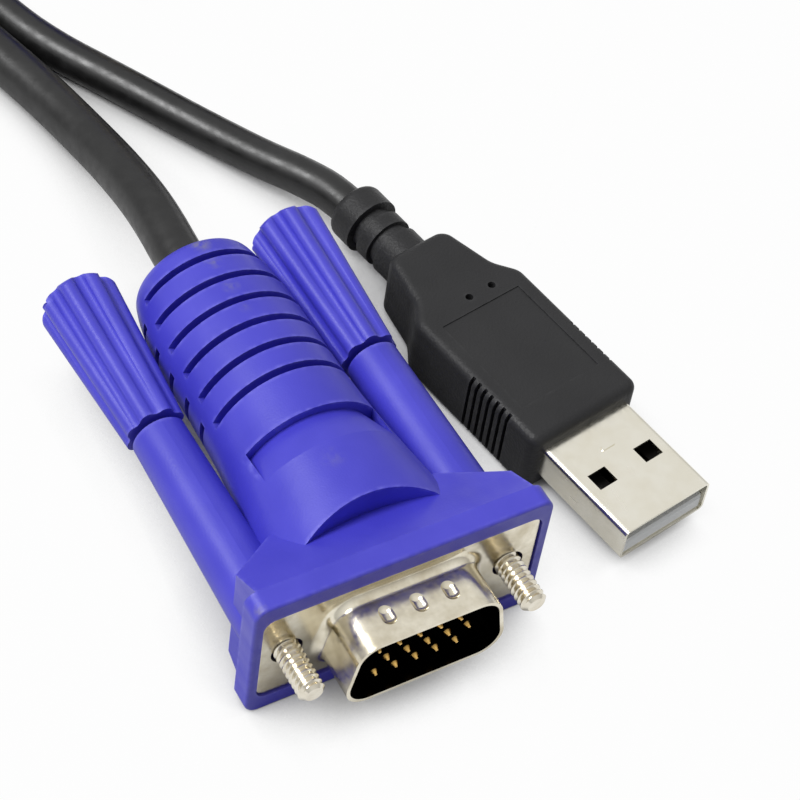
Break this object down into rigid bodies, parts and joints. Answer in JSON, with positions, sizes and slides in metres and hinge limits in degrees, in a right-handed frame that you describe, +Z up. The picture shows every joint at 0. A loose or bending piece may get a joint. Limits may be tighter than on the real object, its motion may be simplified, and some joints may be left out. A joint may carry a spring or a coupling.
{
  "type": "kvm cable",
  "caption": "Cable with a blue moulded display plug held by captive thumbscrews and a flat black data plug, on black cords put away in a tied coil with their far-end plugs.",
  "frame": {"origin": "on the floor, under the middle of the near display plug's front rim", "axes": "+Y from the near plugs' mating faces towards their cords, +Z up"},
  "size_m": [0.0766, 0.2392, 0.0318],
  "materials": {
    "plug_blue": "satin moulded vinyl, violet blue",
    "shell_nickel": "nickel-plated drawn steel",
    "insulator_black": "moulded",
    "pin_gold": "gold flash",
    "screw_steel": "turned, nickel plated",
    "plug_black": "satin moulded vinyl",
    "data_shell_nickel": "folded, nickel plated",
    "tongue_white": "moulded",
    "cord_black": "satin vinyl sheath",
    "tie_black": "hook-and-loop strap"
  },
  "bodies": {
    "cable": {"display_plug_hood": "plug_blue", "display_plug_front_shell": "shell_nickel", "display_plug_rear_shell": "shell_nickel", "display_plug_insulator": "insulator_black", "display_plug_pins": "pin_gold", "far_display_plug_hood": "plug_blue", "far_display_plug_front_shell": "shell_nickel", "far_display_plug_rear_shell": "shell_nickel", "far_display_plug_insulator": "insulator_black", "far_display_plug_pins": "pin_gold", "data_plug_body": "plug_black", "data_plug_shell": "data_shell_nickel", "data_plug_tongue": "tongue_white", "data_plug_contacts": "pin_gold", "far_data_plug_body": "plug_black", "far_data_plug_shell": "data_shell_nickel", "far_data_plug_core": "tongue_white", "far_data_plug_contacts": "pin_gold", "display_cord_run": "cord_black", "display_cord_coil": "cord_black", "display_cord_tail": "cord_black", "data_cord_run": "cord_black", "data_cord_coil": "cord_black", "data_cord_tail": "cord_black", "cord_tie": "tie_black"},
    "near_left_thumbscrew": {"display_plug_left_screw": "screw_steel", "display_plug_left_knob": "plug_blue"},
    "near_right_thumbscrew": {"display_plug_right_screw": "screw_steel", "display_plug_right_knob": "plug_blue"},
    "far_left_thumbscrew": {"far_display_plug_left_screw": "screw_steel", "far_display_plug_left_knob": "plug_blue"},
    "far_right_thumbscrew": {"far_display_plug_right_screw": "screw_steel", "far_display_plug_right_knob": "plug_blue"}
  },
  "joints": [
    {"name": "near_left_screw_turn", "type": "hinge", "parent": "cable", "child": "near_left_thumbscrew", "pos_m": [-0.01249, 0.029, 0.0087], "axis": [0, 1, 0], "continuous": true},
    {"name": "near_right_screw_turn", "type": "hinge", "parent": "cable", "child": "near_right_thumbscrew", "pos_m": [0.01249, 0.029, 0.0087], "axis": [0, 1, 0], "continuous": true},
    {"name": "far_left_screw_turn", "type": "hinge", "parent": "cable", "child": "far_left_thumbscrew", "pos_m": [0.01951, 0.134, 0.0087], "axis": [0, 1, 0], "continuous": true},
    {"name": "far_right_screw_turn", "type": "hinge", "parent": "cable", "child": "far_right_thumbscrew", "pos_m": [0.04449, 0.134, 0.0087], "axis": [0, 1, 0], "continuous": true}
  ]
}
